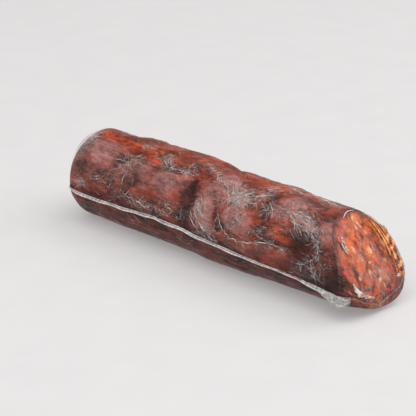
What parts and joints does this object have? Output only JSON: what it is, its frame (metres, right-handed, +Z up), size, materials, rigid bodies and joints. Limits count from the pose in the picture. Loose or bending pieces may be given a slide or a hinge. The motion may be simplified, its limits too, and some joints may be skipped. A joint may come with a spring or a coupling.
{
  "type": "cured sausage",
  "caption": "Stout cured sausage with one blunt end and one slanting cut face, wrapped in skin-tight clear film with a welded edge; lies on its side as food.",
  "frame": {"origin": "under the middle of the whole, on the surface that the sausage rests on", "axes": "+X along the sausage from its blunt end to its cut face, +Z up, -Y the front with the film's gathered tail"},
  "size_m": [0.215, 0.0567, 0.051],
  "materials": {
    "cured_meat": "wrinkled dark red-brown cured meat under skin-tight clear film, glossy on the swellings",
    "clear_film": "clear thin plastic film, whitish where it is welded or gathered"
  },
  "bodies": {
    "root": {"sausage": "cured_meat", "film_seam": "clear_film"}
  },
  "joints": []
}
